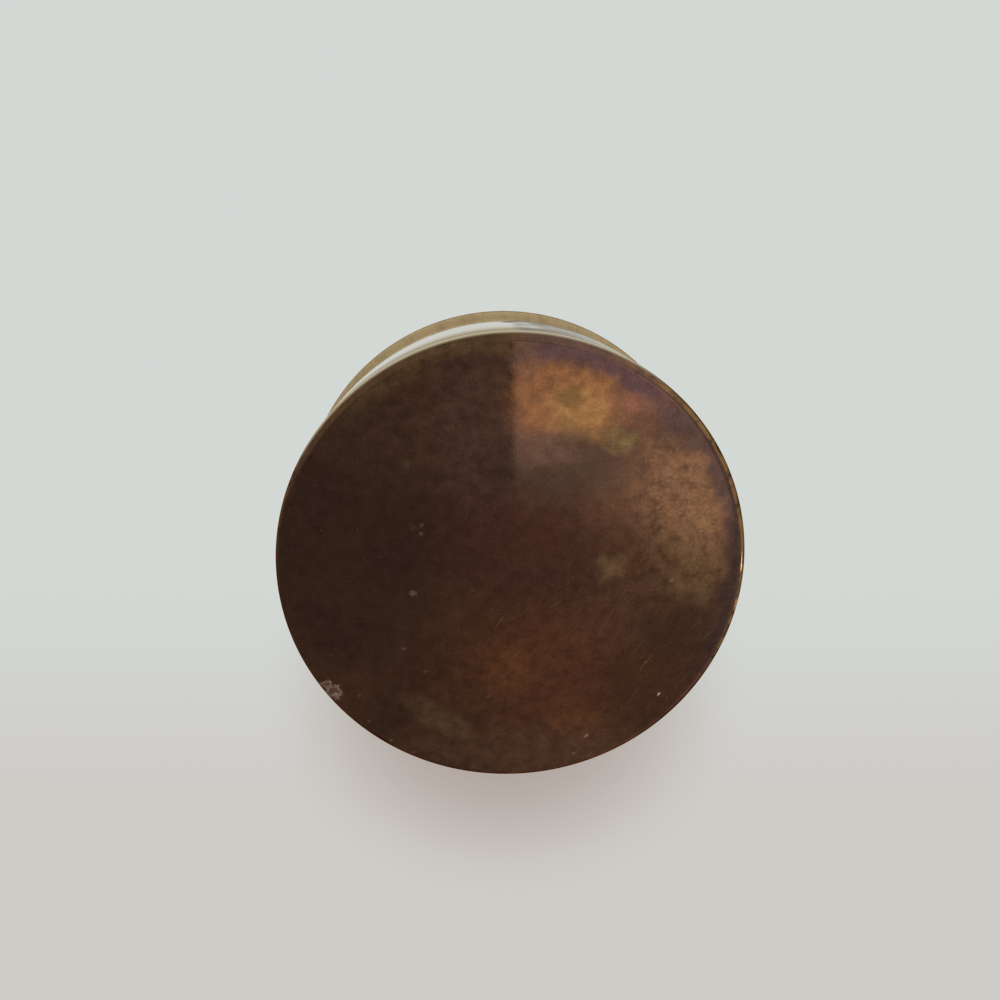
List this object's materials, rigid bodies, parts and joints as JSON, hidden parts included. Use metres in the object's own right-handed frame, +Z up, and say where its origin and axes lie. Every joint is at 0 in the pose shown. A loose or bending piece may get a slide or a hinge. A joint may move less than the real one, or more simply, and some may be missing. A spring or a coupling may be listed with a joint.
{
  "type": "trinket box",
  "caption": "Round brass trinket box: spun cup with a flat bottom and rounded lower edge, velvet lining, and a lift-off domed lid with a small turned knob.",
  "frame": {"origin": "middle of the flat bottom, on the surface the box stands on", "axes": "+Z up along the box's axis towards the lid"},
  "size_m": [0.0614, 0.0614, 0.0385],
  "materials": {
    "lacquered_brass": "polished and lacquered, tarnished dark brown on the bottom",
    "satin_brass": "satin, lightly tarnished",
    "velvet": "short-pile velvet over card"
  },
  "bodies": {
    "body": {"body_shell": "lacquered_brass", "floor_pad": "velvet", "wall_lining": "velvet"},
    "lid": {"lid_shell": "lacquered_brass", "register_ring": "satin_brass", "lid_lining": "velvet", "knob": "lacquered_brass", "knob_rosette": "lacquered_brass", "knob_washer": "satin_brass", "knob_screw": "satin_brass"}
  },
  "joints": [
    {"name": "lid_lift", "type": "slide", "parent": "body", "child": "lid", "axis": [0, 0, 1], "range_m": [0, 0.035]}
  ]
}
